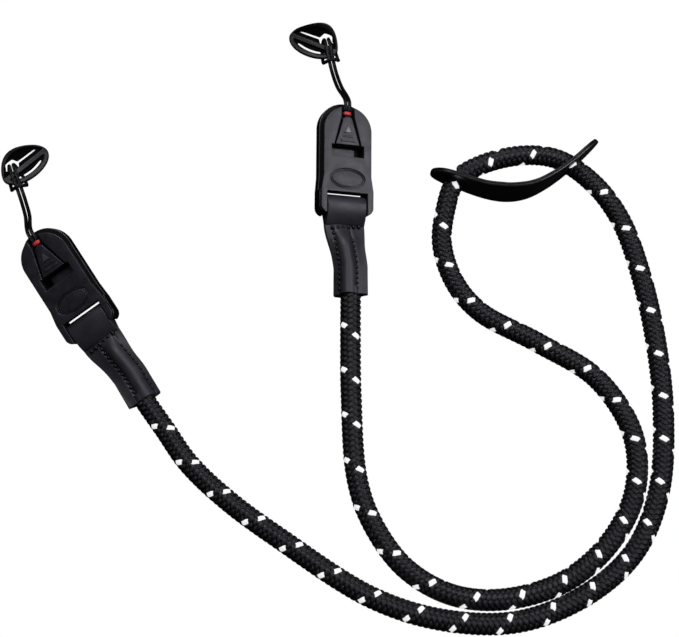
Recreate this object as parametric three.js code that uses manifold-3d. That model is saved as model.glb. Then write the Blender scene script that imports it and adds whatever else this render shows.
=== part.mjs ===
// Camera neck strap: a braided rope with a quick-release buckle on each end and a leather shoulder pad,
// laid flat. Millimetres, +Z up. The origin is under the middle of the hard pieces, on the surface that
// the strap lies on.
import * as THREE from 'three';
import { mergeVertices } from 'three/addons/utils/BufferGeometryUtils.js';
import Module from 'manifold-3d';

const wasm = await Module();
wasm.setup();

// Rope
const ropeDiameter = 8.5;
const ropeSides = 12;
const ropeSteps = 76;
const ropeHoleClearance = 0.4;

// Shoulder pad: a leather strip that stands on its long edge, with the rope through a hole near each end
const padLength = 81;
const padHeight = 19.6;
const padThickness = 2.1;
const padStations = 30;
const padStart = { x: 39.8, y: 67.2 };

// Buckle, seen from its face: half widths across, lengths from the cross bar towards the cord end
const gap = 0.3;
const plateHalf = 10.8;
const plateTop = 43.1;
const plateThickness = 2.3;
const plateEnd = 5.3;
const backHalf = 11.3;
const backThickness = 4.2;
const backOvershoot = 2.6;
const coreInset = 1.6;
const buckleThickness = 9.6;
const cheekHalf = 11.8;
const cheekEnd = 4.3;
const cheekCorner = 3.5;
const flareTop = 12.5;
const flareBottom = 6.3;
const barRadius = 3.1;
const barHalfThickness = 2;
const strapWidth = 17.5;
const slotClearance = 0.4;
const slotGap = 1.7;
const windowHalf = 7.35;
const windowTop = 25.9;
const windowBottom = 20.9;
const windowPadHalf = 5.25;
const windowDepth = 2.5;
const ovalCentre = 11.2;
const ovalHalfLength = 7.9;
const ovalHalfWidth = 4.5;
const ovalGroove = 0.45;
const keyMouthHalf = 2.9;
const keyNeck = 38.8;
const keyFootHalf = 6.2;

// Anchor in the buckle: a wedge, a red bead at its tip, and a looped cord
const wedgeTopHalf = 2.2;
const wedgeFootHalf = 5.45;
const wedgeThickness = 2;
const beadLength = 2;
const beadRadius = 1.8;
const beadFlatten = 0.62;
const cordDiameter = 1.6;
const strandApart = 0.62 * cordDiameter;
const cordSides = 8;
const cordSteps = 60;

// Leather protector on the cord
const protectorLength = 24;
const protectorWidth = 13.6;
const protectorThickness = 1.5;
const protectorLift = 1.4;
const protectorTip = 6;
const protectorSlotLength = 16.6;
const protectorSlotWidth = 3.8;
const protectorSlotFarWidth = 1.8;
const protectorSpreadStart = 8;
const protectorBar = 2.5;
const protectorCurl = 4.2;
const protectorDrawIn = 0.06;

// Leather tab: folded round the bar, its two plies sewn together round the rope's end
const ply = 1.3;
const tabMouthWidth = 14.4;
const tabTaperShare = 0.45;
const tabBoreDepth = 12;
const tabLoopLength = 9;
const tabStations = 10;
const tabLoopOverlap = 0.4;
const tabRopeShare = 0.4;
const tabBoreSides = 16;
const bulgeSteps = 8;
const cutOverrun = 1;
const weldOverlap = 0.05;

// The rope's route, from the right tab round the pad to the left tab: places chosen by hand from the photo
const ropeRoute = [
  [4.7, 22.0, 6.5], [4.7, 10.0, 5.9], [4.6, -10.0, 4.7], [4.8, -33.0, 4.4], [7.1, -68.7, 4.4],
  [13.0, -86.5, 4.4], [26.0, -104.8, 4.4], [44.2, -115.3, 4.4], [65.0, -117.0, 4.4], [89.3, -109.7, 4.4],
  [107.6, -94.5, 4.4], [118.9, -74.0, 4.4], [119.7, -50.0, 4.4], [106.5, -26.3, 4.4], [83.0, -10.6, 4.4],
  [59.2, 3.2, 4.4], [49.0, 16.3, 4.4], [43.9, 34.1, 4.7], [45.6, 49.0, 7.6], [50.2, 61.4, 9.8],
  [61.8, 69.4, 9.5], [80.5, 74.1, 9.0], [95.5, 71.5, 9.6], [110.6, 60.2, 7.9], [121.0, 45.5, 4.8],
  [127.6, 22.5, 4.4], [132.1, -9.0, 4.4], [132.9, -42.0, 4.4], [128.6, -74.0, 4.4], [117.5, -97.7, 4.4],
  [98.2, -114.6, 4.4], [70.5, -125.6, 4.4], [41.2, -125.2, 4.4], [13.0, -116.5, 4.4], [-24.1, -92.8, 4.4],
  [-45.0, -77.5, 4.4], [-61.0, -62.5, 4.5], [-71.8, -47.5, 5.2], [-79.9, -36.2, 5.9], [-86.2, -26.0, 6.5],
];

// Where each end of the strap lies: the middle of the buckle's bar, the way that its cord end points and
// how far it is tipped and rolled, the roll of the tab's mouth, and the cord's hitch and its protector, whose
// far rim spreads from the near one towards the hitch
const ends = [
  {
    side: 'right', ropeEnd: [0, 1], bar: [1.9, 49.4, 9.6], heading: 89.6, tip: 11, roll: 20, mouthRoll: -10,
    hitch: [-3.8, 124.1], protector: [-11.8, 133.6], protectorTurn: -27, tipWay: -1,
    protectorSpread: 7,
  },
  {
    side: 'left', ropeEnd: [-1, -2], bar: [-103.5, -3.7, 9.6], heading: 124, tip: 11, roll: -20, mouthRoll: 10,
    hitch: [-139.7, 61.5], protector: [-137.9, 72.4], protectorTurn: 46, tipWay: 1,
    protectorSpread: 4,
  },
];

// The pad's bow, seen from above: which way it heads at each share of its length, and how far its top
// leans over to the front, in degrees
const padBow = [
  { share: 0, heading: -15, lean: 10 },
  { share: 0.1, heading: -22, lean: 9 },
  { share: 0.2, heading: -24, lean: 7 },
  { share: 0.3, heading: -18, lean: 6 },
  { share: 0.38, heading: -9, lean: 4 },
  { share: 0.48, heading: 9, lean: 4 },
  { share: 0.58, heading: 28, lean: 6 },
  { share: 0.7, heading: 37, lean: 7 },
  { share: 0.83, heading: 43, lean: 8 },
  { share: 1, heading: 44, lean: 8 },
];

const colours = {
  rope: { color: 0x1a1a1c, roughness: 0.75, metalness: 0 },
  leather: { color: 0x232427, roughness: 0.5, metalness: 0 },
  plastic: { color: 0x2a2a2d, roughness: 0.55, metalness: 0 },
  core: { color: 0x151516, roughness: 0.6, metalness: 0 },
  bead: { color: 0xc8202a, roughness: 0.4, metalness: 0 },
  cord: { color: 0x161617, roughness: 0.7, metalness: 0 },
};

function toManifold(geometry) {
  const bare = geometry.index ? geometry.toNonIndexed() : geometry.clone();
  bare.deleteAttribute('normal');
  bare.deleteAttribute('uv');
  const merged = mergeVertices(bare, 1e-4);
  return new wasm.Manifold(new wasm.Mesh({
    numProp: 3,
    vertProperties: new Float32Array(merged.attributes.position.array),
    triVerts: new Uint32Array(merged.index.array),
  }));
}

function toGeometry(manifold) {
  const mesh = manifold.getMesh();
  const geometry = new THREE.BufferGeometry();
  geometry.setAttribute('position', new THREE.BufferAttribute(new Float32Array(mesh.vertProperties), 3));
  geometry.setIndex(new THREE.BufferAttribute(new Uint32Array(mesh.triVerts), 1));
  return geometry;
}

function join(geometries) {
  return geometries.map(toManifold).reduce((sum, piece) => sum.add(piece));
}

function cut(solid, geometries) {
  return geometries.map(toManifold).reduce((rest, tool) => rest.subtract(tool), solid);
}

function makeMesh(name, geometry, look) {
  const mesh = new THREE.Mesh(geometry, new THREE.MeshStandardMaterial(look));
  mesh.name = name;
  return mesh;
}

// A flat shape in X and Y, extruded from one height to another
function slab(shape, low, high, curveSegments = 12) {
  const geometry = new THREE.ExtrudeGeometry(shape, { depth: high - low, bevelEnabled: false, curveSegments });
  geometry.translate(0, 0, low);
  return geometry;
}

function box(width, length, height, x, y, z) {
  const geometry = new THREE.BoxGeometry(width, length, height);
  geometry.translate(x, y, z);
  return geometry;
}

function polygon(points) {
  return new THREE.Shape(points.map(([x, y]) => new THREE.Vector2(x, y)));
}

// Closed body through rings that hold the same number of points, with both ends filled
function loft(rings) {
  const count = rings[0].length;
  const positions = [];
  for (const ring of rings) for (const point of ring) positions.push(point.x, point.y, point.z);
  const index = [];
  for (let r = 0; r + 1 < rings.length; r += 1) {
    for (let i = 0; i < count; i += 1) {
      const next = (i + 1) % count;
      const [a, b, c, d] = [r * count + i, r * count + next, (r + 1) * count + next, (r + 1) * count + i];
      index.push(a, b, c, a, c, d);
    }
  }
  const last = (rings.length - 1) * count;
  for (const [ring, start, flip] of [[rings[0], 0, true], [rings.at(-1), last, false]]) {
    const middle = ring.reduce((sum, point) => sum.add(point), new THREE.Vector3()).divideScalar(count);
    const centre = positions.length / 3;
    positions.push(middle.x, middle.y, middle.z);
    for (let i = 0; i < count; i += 1) {
      const [a, b] = [start + i, start + ((i + 1) % count)];
      index.push(centre, flip ? b : a, flip ? a : b);
    }
  }
  const geometry = new THREE.BufferGeometry();
  geometry.setAttribute('position', new THREE.Float32BufferAttribute(positions, 3));
  geometry.setIndex(index);
  return geometry;
}

function curveThrough(points) {
  return new THREE.CatmullRomCurve3(points.map((point) => new THREE.Vector3(...point)), false, 'centripetal');
}

// A round tube along a curve
function tube(curve, diameter, sides, steps) {
  const section = new THREE.Shape();
  section.absarc(0, 0, diameter / 2, 0, 2 * Math.PI, false);
  return new THREE.ExtrudeGeometry(section, {
    steps, extrudePath: curve, bevelEnabled: false, curveSegments: sides / 2,
  });
}

// A table's value at a share between two of its rows
function tableValue(rows, column, share) {
  const next = rows.findIndex((row) => row.share >= share);
  if (next <= 0) return rows[0][column];
  const [low, high] = [rows[next - 1], rows[next]];
  const along = (share - low.share) / (high.share - low.share);
  return THREE.MathUtils.lerp(low[column], high[column], along);
}

// The pad's plan: places, headings and leans at even steps along its length
function padPlan(steps) {
  const plan = [];
  let { x, y } = padStart;
  for (let i = 0; i <= steps; i += 1) {
    const heading = THREE.MathUtils.degToRad(tableValue(padBow, 'heading', i / steps));
    const lean = THREE.MathUtils.degToRad(tableValue(padBow, 'lean', i / steps));
    plan.push({ x, y, heading, lean });
    x += (padLength / steps) * Math.cos(heading);
    y += (padLength / steps) * Math.sin(heading);
  }
  return plan;
}

// A strip with round ends, standing on its long edge and bowed, with the rope's holes cut through
function makePad(ropeCurve) {
  const fine = 200;
  const plan = padPlan(fine);
  const endRadius = padHeight / 2;
  const rings = [];
  for (let i = 0; i <= padStations; i += 1) {
    const share = 0.5 - 0.5 * Math.cos((Math.PI * (i + 0.35)) / (padStations + 0.7));
    const along = share * padLength;
    const fromEnd = Math.min(along, padLength - along);
    const inEnd = Math.max(0, endRadius - fromEnd);
    const half = Math.sqrt(endRadius ** 2 - inEnd ** 2);
    const { x, y, heading, lean } = plan[Math.round(share * fine)];
    const corners = [[-1, -1], [1, -1], [1, 1], [-1, 1]];
    rings.push(corners.map(([across, up]) => {
      const height = endRadius + up * half;
      const aside = (across * padThickness) / 2 - height * Math.tan(lean);
      return new THREE.Vector3(x - aside * Math.sin(heading), y + aside * Math.cos(heading), height);
    }));
  }
  const holeDiameter = (ropeDiameter + 2 * ropeHoleClearance) / Math.cos(Math.PI / ropeSides);
  const holes = tube(ropeCurve, holeDiameter, ropeSides, ropeSteps);
  return makeMesh('shoulder_pad', toGeometry(cut(toManifold(loft(rings)), [holes])), colours.leather);
}

// The buckle's outline: round at the cord end, flared below, with round lower corners
function buckleOutline(half, top, inset) {
  const centre = top - half;
  const side = cheekHalf - inset;
  const bottom = -cheekEnd + inset;
  const corner = cheekCorner;
  const shape = new THREE.Shape();
  shape.moveTo(half, flareTop);
  shape.lineTo(half, centre);
  shape.absarc(0, centre, half, 0, Math.PI, false);
  shape.lineTo(-half, flareTop);
  shape.lineTo(-side, flareBottom);
  shape.lineTo(-side, bottom + corner);
  shape.absarc(-side + corner, bottom + corner, corner, Math.PI, 1.5 * Math.PI, false);
  shape.absarc(side - corner, bottom + corner, corner, 1.5 * Math.PI, 2 * Math.PI, false);
  shape.lineTo(side, flareBottom);
  return shape;
}

const face = buckleThickness / 2;
const plateBack = face - plateThickness;
const coreTop = plateBack - gap;
const backTop = -face + backThickness;
const loopRadius = barRadius + gap + ply;
const slotTop = loopRadius + slotGap;

const notchHalf = strapWidth / 2 + slotClearance;

// The strap's way between the cheeks, open below, up to a height above the bar
function strapNotch(top) {
  const length = top + 2 * cheekEnd;
  return box(2 * notchHalf, length, 2 * buckleThickness, 0, top - length / 2, 0);
}

// The buckle's back, core, cheeks and cross bar in one moulding
function makeHousing(side) {
  const back = slab(buckleOutline(backHalf, plateTop + backOvershoot, 0), -face, backTop);
  const core = slab(buckleOutline(backHalf - coreInset, plateTop, coreInset), backTop - gap, coreTop);
  const cheeks = new THREE.Shape();
  const low = -cheekEnd;
  cheeks.moveTo(-cheekHalf, flareBottom);
  cheeks.lineTo(-cheekHalf, low + cheekCorner);
  cheeks.absarc(-cheekHalf + cheekCorner, low + cheekCorner, cheekCorner, Math.PI, 1.5 * Math.PI, false);
  cheeks.absarc(cheekHalf - cheekCorner, low + cheekCorner, cheekCorner, 1.5 * Math.PI, 2 * Math.PI, false);
  cheeks.lineTo(cheekHalf, flareBottom);
  const block = slab(cheeks, -face, coreTop);
  const pocketWidth = windowHalf - windowPadHalf;
  const pockets = [-1, 1].map((way) => box(
    pocketWidth, windowTop - windowBottom, 2 * windowDepth,
    way * (windowPadHalf + pocketWidth / 2), (windowTop + windowBottom) / 2, coreTop,
  ));
  const bar = new THREE.CylinderGeometry(barRadius, barRadius, 2 * notchHalf + cheekHalf - notchHalf, 16);
  bar.rotateZ(Math.PI / 2);
  bar.scale(1, 1, barHalfThickness / barRadius);
  const body = cut(join([back, core, block]), [strapNotch(slotTop), ...pockets]).add(toManifold(bar));
  return makeMesh(`${side}_clip_housing`, toGeometry(body), colours.core);
}

// The front plate, down to the cheeks' ends, with the anchor's tapered keyway, the window and the oval groove
function makeFaceplate(side) {
  const keyway = polygon([
    [-keyMouthHalf, plateTop + cutOverrun], [-keyMouthHalf, keyNeck], [-keyFootHalf, windowTop],
    [-windowHalf, windowTop], [-windowHalf, windowBottom], [windowHalf, windowBottom],
    [windowHalf, windowTop], [keyFootHalf, windowTop], [keyMouthHalf, keyNeck],
    [keyMouthHalf, plateTop + cutOverrun],
  ]);
  const ring = new THREE.Shape();
  ring.absellipse(0, ovalCentre, ovalHalfLength, ovalHalfWidth, 0, 2 * Math.PI, false);
  const inner = new THREE.Path();
  const [innerLength, innerWidth] = [ovalHalfLength - ovalGroove, ovalHalfWidth - ovalGroove];
  inner.absellipse(0, ovalCentre, innerLength, innerWidth, 0, 2 * Math.PI, true);
  ring.holes.push(inner);
  const plate = toManifold(slab(buckleOutline(plateHalf, plateTop, 0), plateBack, face));
  const body = cut(plate, [
    strapNotch(plateEnd),
    slab(keyway, plateBack - cutOverrun, face + cutOverrun),
    slab(ring, face - ovalGroove, face + cutOverrun, 16),
  ]);
  return makeMesh(`${side}_clip_faceplate`, toGeometry(body), colours.plastic);
}

// The anchor's tapered tongue, as far up as the keyway lets it sit
function makeWedge(side) {
  const foot = windowTop + gap;
  const tip = keyNeck - wedgeTopHalf;
  const shape = new THREE.Shape();
  shape.moveTo(-wedgeFootHalf, foot);
  shape.lineTo(wedgeFootHalf, foot);
  shape.lineTo(wedgeTopHalf, tip);
  shape.absarc(0, tip, wedgeTopHalf, 0, Math.PI, false);
  return makeMesh(`${side}_anchor_wedge`, slab(shape, plateBack, plateBack + wedgeThickness), colours.plastic);
}

const beadLow = keyNeck + gap;
const beadHeight = plateBack + beadRadius * beadFlatten;

function makeBead(side) {
  const round = beadLength / 4;
  const profile = [[0, 0], [beadRadius - round, 0], [beadRadius, round]];
  profile.push([beadRadius, beadLength - round], [beadRadius - round, beadLength], [0, beadLength]);
  const geometry = new THREE.LatheGeometry(profile.map(([r, along]) => new THREE.Vector2(r, along)), 14);
  geometry.scale(1, 1, beadFlatten);
  geometry.translate(0, beadLow, beadHeight);
  return makeMesh(`${side}_anchor_bead`, geometry, colours.bead);
}

// The frame of a buckle: across, along and out of its face
function buckleMatrix(end) {
  const [heading, tip, roll] = [end.heading, end.tip, end.roll].map(THREE.MathUtils.degToRad);
  const along = new THREE.Vector3(
    Math.cos(heading) * Math.cos(tip), Math.sin(heading) * Math.cos(tip), Math.sin(tip),
  );
  const level = new THREE.Vector3(Math.sin(heading), -Math.cos(heading), 0);
  const up = new THREE.Vector3().crossVectors(level, along);
  const out = up.multiplyScalar(Math.cos(roll)).addScaledVector(level, Math.sin(roll));
  const across = new THREE.Vector3().crossVectors(along, out);
  return new THREE.Matrix4().makeBasis(across, along, out).setPosition(...end.bar);
}

// Where a strand runs from near the bead to its bight, in millimetres from the hitch
const strandRows = [
  { along: -19, across: strandApart, height: 12.6 }, { along: -10, across: strandApart, height: 6.4 },
  { along: -3, across: strandApart, height: 4.3 }, { along: 1.5, across: strandApart, height: 5.2 },
  { along: 5.5, across: strandApart, height: 6.2 }, { along: 10, across: strandApart, height: 5.2 },
  { along: 11.3, across: 1.2, height: 2.8 }, { along: 9.8, across: 2, height: 1.04 },
  { along: 5, across: 3.1, height: 1.1 }, { along: 1.2, across: 3.4, height: 1.2 },
  { along: -0.5, across: 3, height: 4 },
];
const bight = { along: -1, across: 0, height: 6.5 };
const straightFromBead = 4;

// The cord leaves the bead as two strands, runs over the protector's edge and down its slot, comes back
// under that edge on both sides, and closes in a bight across its own strands
function anchorRoute(end) {
  const matrix = buckleMatrix(end);
  const fromBuckle = (x, y) => new THREE.Vector3(x, y, beadHeight).applyMatrix4(matrix);
  const exit = beadLow + beadLength + gap;
  const start = fromBuckle(0, exit);
  const away = new THREE.Vector3(end.hitch[0] - start.x, end.hitch[1] - start.y, 0).normalize();
  const aside = new THREE.Vector3(away.y, -away.x, 0);
  const fromHitch = ({ along, across, height }, way) => new THREE.Vector3(...end.hitch, height)
    .addScaledVector(away, along).addScaledVector(aside, way * across);
  const strand = (way) => [
    fromBuckle(way * strandApart, exit), fromBuckle(way * strandApart, exit + straightFromBead),
    ...strandRows.map((row) => fromHitch(row, way)),
  ];
  return [...strand(1), fromHitch(bight, 1), ...strand(-1).reverse()];
}

function makeAnchorCord(end) {
  const curve = new THREE.CatmullRomCurve3(anchorRoute(end), false, 'centripetal');
  return makeMesh(`${end.side}_anchor_cord`, tube(curve, cordDiameter, cordSides, cordSteps), colours.cord);
}

// An oval leather plate with two long slots and a bar between them, curled up along one side
function makeProtector(end) {
  const [halfLength, halfWidth] = [protectorLength / 2, protectorWidth / 2];
  const shape = new THREE.Shape();
  shape.absellipse(0, 0, halfLength, halfWidth, 0, 2 * Math.PI, false);
  const slotHalf = protectorSlotWidth / 2;
  const farHalf = protectorSlotFarWidth / 2;
  const [leftHalf, rightHalf] = end.tipWay > 0 ? [slotHalf, farHalf] : [farHalf, slotHalf];
  for (const way of [-1, 1]) {
    const middle = way * (protectorBar / 2 + slotHalf);
    const slot = new THREE.Path();
    slot.absarc(protectorSlotLength / 2 - rightHalf, middle, rightHalf, -Math.PI / 2, Math.PI / 2, false);
    slot.absarc(leftHalf - protectorSlotLength / 2, middle, leftHalf, Math.PI / 2, 1.5 * Math.PI, false);
    shape.holes.push(slot);
  }
  const geometry = slab(shape, 0, protectorThickness, 14);
  const places = geometry.attributes.position;
  for (let i = 0; i < places.count; i += 1) {
    const share = Math.max(0, places.getY(i) / halfWidth);
    const fromFar = Math.max(0, protectorSpreadStart - end.tipWay * places.getX(i));
    const spread = (end.protectorSpread * fromFar) / (protectorSpreadStart + halfLength);
    places.setZ(i, places.getZ(i) + protectorCurl * share ** 2);
    places.setY(i, places.getY(i) * (1 - protectorDrawIn * share ** 2) + spread * share ** 3);
  }
  const mesh = makeMesh(`${end.side}_protector`, geometry, colours.leather);
  mesh.position.set(...end.protector, protectorLift);
  const [tip, turn] = [protectorTip * end.tipWay, end.protectorTurn].map(THREE.MathUtils.degToRad);
  mesh.rotation.set(0, tip, turn, 'ZYX');
  return mesh;
}

// The sleeve's section at a share of its length: two flat flanges and, as the rope comes in between the
// plies, a bulge above and below
function sleeveSection(share) {
  const bulge = THREE.MathUtils.smoothstep(share, 0, tabRopeShare);
  const taper = THREE.MathUtils.smoothstep(share, 0, tabTaperShare);
  const half = THREE.MathUtils.lerp(strapWidth, tabMouthWidth, taper) / 2 - 2 * weldOverlap;
  const flange = ply - weldOverlap;
  const radius = ropeDiameter / 2 + gap + ply;
  const first = Math.asin(flange / radius);
  const arc = (way) => Array.from({ length: bulgeSteps + 1 }, (_, step) => {
    const angle = first + ((Math.PI - 2 * first) * step) / bulgeSteps;
    const height = flange + (radius * Math.sin(angle) - flange) * bulge;
    return [way * radius * Math.cos(angle), way * height];
  });
  return [[half, -flange], [half, flange], ...arc(1), [-half, flange], [-half, -flange], ...arc(-1)];
}

// The tab: a loop round the bar, then a sleeve that turns and drops from the buckle to the rope's end
function makeTab(end) {
  const matrix = buckleMatrix(end);
  const [across, along, out] = [0, 1, 2].map((column) => new THREE.Vector3().setFromMatrixColumn(matrix, column));
  const profile = new THREE.Shape();
  profile.moveTo(-tabLoopLength, -ply);
  profile.absarc(0, 0, loopRadius, -Math.PI / 2 - tabLoopOverlap, Math.PI / 2 + tabLoopOverlap, false);
  profile.lineTo(-tabLoopLength, ply);
  const eye = new THREE.Path();
  eye.absarc(0, 0, barRadius + gap, 0, 2 * Math.PI, true);
  profile.holes.push(eye);
  const loop = slab(profile, -strapWidth / 2, strapWidth / 2, 16);
  const loopPlace = new THREE.Matrix4().makeBasis(along, out, across).setPosition(...end.bar);
  loop.applyMatrix4(loopPlace);

  const [inner, mouth] = end.ropeEnd.map((at) => new THREE.Vector3(...ropeRoute.at(at)));
  const outwards = mouth.clone().sub(inner).normalize();
  const ropeTip = mouth.clone().addScaledVector(outwards, -tabBoreDepth);
  const top = new THREE.Vector3(...end.bar).addScaledVector(along, cutOverrun - tabLoopLength);
  const reach = top.distanceTo(ropeTip) / 3;
  const bend = new THREE.CubicBezierCurve3(
    top, top.clone().addScaledVector(along, -reach), ropeTip.clone().addScaledVector(outwards, -reach), ropeTip,
  );
  const spine = new THREE.CurvePath();
  spine.add(bend);
  spine.add(new THREE.LineCurve3(ropeTip, mouth));
  const rings = [];
  const bores = [];
  const twist = THREE.MathUtils.degToRad(end.mouthRoll - end.roll);
  for (let i = 0; i <= tabStations; i += 1) {
    const share = i / tabStations;
    const place = spine.getPointAt(share);
    const back = spine.getTangentAt(share).negate();
    const level = across.clone().addScaledVector(back, -across.dot(back)).normalize();
    const turned = level.applyAxisAngle(back, twist * share);
    const outward = new THREE.Vector3().crossVectors(turned, back);
    const at = ([x, y]) => place.clone().addScaledVector(turned, x).addScaledVector(outward, y);
    rings.push(sleeveSection(share).map(at));
  }
  const boreRadius = ropeDiameter / 2 + gap;
  for (const along of [-tabBoreDepth - gap, cutOverrun]) {
    const centre = mouth.clone().addScaledVector(outwards, along);
    const side = new THREE.Vector3(0, 0, 1).cross(outwards).normalize();
    const rise = new THREE.Vector3().crossVectors(outwards, side);
    bores.push(Array.from({ length: tabBoreSides }, (_, step) => {
      const angle = (2 * Math.PI * step) / tabBoreSides;
      return centre.clone().addScaledVector(side, boreRadius * Math.cos(angle))
        .addScaledVector(rise, boreRadius * Math.sin(angle));
    }));
  }
  const body = cut(join([loop, loft(rings)]), [loft(bores)]);
  return makeMesh(`${end.side}_leather_tab`, toGeometry(body), colours.leather);
}

function makeEnd(end) {
  const group = new THREE.Group();
  const buckle = new THREE.Group();
  buckle.applyMatrix4(buckleMatrix(end));
  buckle.add(makeHousing(end.side), makeFaceplate(end.side), makeWedge(end.side), makeBead(end.side));
  group.add(buckle, makeTab(end), makeAnchorCord(end), makeProtector(end));
  return group;
}

const ropeCurve = curveThrough(ropeRoute);
const strap = new THREE.Group();
strap.add(makeMesh('rope', tube(ropeCurve, ropeDiameter, ropeSides, ropeSteps), colours.rope));
strap.add(makePad(ropeCurve));
for (const end of ends) strap.add(makeEnd(end));

// The origin goes under the middle of all but the rope and the cords
strap.updateMatrixWorld(true);
const hardBox = new THREE.Box3();
strap.traverse((piece) => {
  if (piece.isMesh && !/rope|cord/.test(piece.name)) hardBox.expandByObject(piece, true);
});
const middle = hardBox.getCenter(new THREE.Vector3());
strap.position.set(-middle.x, -middle.y, -hardBox.min.z);
strap.updateMatrixWorld(true);

export default strap;
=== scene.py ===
# Looks of the camera neck strap. Shapes are made in millimetres in the layout in which the strap was
# measured, and FRAME_SHIFT takes them to the frame's origin.
import math

import bmesh
import bpy
import numpy as np
from mathutils import Matrix, Vector


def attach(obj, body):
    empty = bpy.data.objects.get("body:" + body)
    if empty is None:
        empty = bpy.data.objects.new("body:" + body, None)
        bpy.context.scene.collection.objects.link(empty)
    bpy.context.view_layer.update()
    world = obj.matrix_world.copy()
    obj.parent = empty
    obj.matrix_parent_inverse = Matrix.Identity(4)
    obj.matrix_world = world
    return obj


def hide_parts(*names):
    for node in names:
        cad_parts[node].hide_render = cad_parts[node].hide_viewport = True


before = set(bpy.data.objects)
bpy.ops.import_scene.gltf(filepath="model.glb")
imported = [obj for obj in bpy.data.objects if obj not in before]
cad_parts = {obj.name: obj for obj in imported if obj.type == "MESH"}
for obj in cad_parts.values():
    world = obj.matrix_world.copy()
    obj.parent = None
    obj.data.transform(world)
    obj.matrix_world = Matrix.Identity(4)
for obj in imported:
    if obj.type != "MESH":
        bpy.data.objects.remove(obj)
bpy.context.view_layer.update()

MM = 0.001
FRAME_SHIFT = Vector((17.652, -51.093, 0.0))

# Camera and light: the photograph's viewing angle, and a dim white sky that is darker low down
CAMERA_ELEVATION = 70.0
CAMERA_DISTANCE = 600.0
CAMERA_TARGET = Vector((0.0, 0.0, 5.0))
CAMERA_LENS = 75.74
FLOOR_REACH = 3.0
SKY_LIGHT = 0.07
SKY_LIGHT_LOW = SKY_LIGHT / 16
SKY_HEIGHTS = (-0.1, 0.4)
LIGHT_COLOUR = (0.94, 0.92, 1.0)
# Name, place, size and power. The right buckle's face mirrors the key light, and the left one's doesn't
LIGHTS = [("key", (0.72, 0.05, 0.86), (0.45, 0.45), 5.6), ("back", (-0.15, 0.46, 0.9), (0.55, 0.3), 5.0)]

# Rope. Its mesh leaves out ROPE_SKIP at each end, and is squeezed inside the tabs
ROPE_DIAMETER = 8.5
ROPE_SKIP = 8.0
ROPE_SQUEEZE = 0.8
ROPE_ROUTE = [
    (4.7, 22, 6.5), (4.7, 10, 5.9), (4.6, -10, 4.7), (4.8, -33, 4.4), (7.1, -68.7, 4.4), (13, -86.5, 4.4),
    (26, -104.8, 4.4), (44.2, -115.3, 4.4), (65, -117, 4.4), (89.3, -109.7, 4.4), (107.6, -94.5, 4.4),
    (118.9, -74, 4.4), (119.7, -50, 4.4), (106.5, -26.3, 4.4), (83, -10.6, 4.4), (59.2, 3.2, 4.4),
    (49, 16.3, 4.4), (43.9, 34.1, 4.7), (45.6, 49, 7.6), (50.2, 61.4, 9.8), (61.8, 69.4, 9.5),
    (80.5, 74.1, 9), (95.5, 71.5, 9.6), (110.6, 60.2, 7.9), (121, 45.5, 4.8), (127.6, 22.5, 4.4),
    (132.1, -9, 4.4), (132.9, -42, 4.4), (128.6, -74, 4.4), (117.5, -97.7, 4.4), (98.2, -114.6, 4.4),
    (70.5, -125.6, 4.4), (41.2, -125.2, 4.4), (13, -116.5, 4.4), (-24.1, -92.8, 4.4), (-45, -77.5, 4.4),
    (-61, -62.5, 4.5), (-71.8, -47.5, 5.2), (-79.9, -36.2, 5.9), (-86.2, -26, 6.5),
]

# Braid: eight strands each way, over two and under two. CELL_STEPS rows or columns lead one crossing on.
# A float's rise is (1 - place ** first) ** second, across it and along it. Turns are those that a strand
# has made at places along the rope, and angles, in degrees, those of the tracer's flecks from the top
BRAID_STRANDS = 8
CELL_STEPS = 8
BRAID_DEPTH = 0.52
BRAID_SHEAR = 0.36
BRAID_PROUD = 0.15
FLOAT_ACROSS = (2.4, 0.6)
FLOAT_ALONG = (4, 0.5)
TRACER_START = -0.45
BRAID_TURNS = [
    (0, -1.6), (30.5, 0), (50, 1), (88, 3), (126, 5), (163, 7), (199, 9), (251, 12), (304.5, 15),
    (342, 17), (379, 19), (416.5, 21), (456.5, 23), (492, 25), (530.5, 27), (569, 29), (605.5, 31),
    (641.5, 33), (677, 35), (713, 37), (748.5, 39), (785, 41), (822, 43), (858, 45), (876, 46), (905, 47.6),
]
BRAID_ANGLES = [
    (0, -42), (50, -39), (110, -24), (180, -6), (330, -6), (400, 10), (425, 32), (475, 10), (600, 5),
    (640, 20), (700, 28), (780, 35), (905, 38),
]

# Buckle, seen from its face: half widths across, lengths from the cross bar towards the cord end
GAP = 0.3
FACE = 4.8
PLATE_HALF = 10.8
PLATE_TOP = 43.1
PLATE_BACK = 2.5
PLATE_END = 5.3
BACK_HALF = 11.3
BACK_TOP = -0.6
BACK_OVERSHOOT = 2.6
CORE_INSET = 1.6
CORE_TOP = PLATE_BACK - GAP
CHEEK_HALF = 11.8
CHEEK_END = 4.3
CHEEK_CORNER = 3.5
FLARE_TOP = 12.5
FLARE_BOTTOM = 6.3
PLY = 1.3
BAR_RADIUS = 3.1
BAR_HALF_THICKNESS = 2.0
LOOP_RADIUS = BAR_RADIUS + GAP + PLY
SLOT_TOP = LOOP_RADIUS + 1.7
STRAP_WIDTH = 17.5
NOTCH_HALF = STRAP_WIDTH / 2 + 0.4
WINDOW_HALF = 7.35
WINDOW_TOP = 25.9
WINDOW_BOTTOM = 20.9
WINDOW_DEPTH = 2.5
PAD_WIDE_GAP = 3.5
PAD_NARROW_GAP = 0.6
PAD_TOP_GAP = 1.1
PAD_FOOT_GAP = 0.4
OVAL_CENTRE = 11.2
OVAL_HALF_LENGTH = 7.9
OVAL_HALF_WIDTH = 4.5
GROOVE_DEPTH = 0.6
RIM_INSET = 0.42
RIM_WIDTH = 0.3
ISLAND_INSET = 1.12
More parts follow.
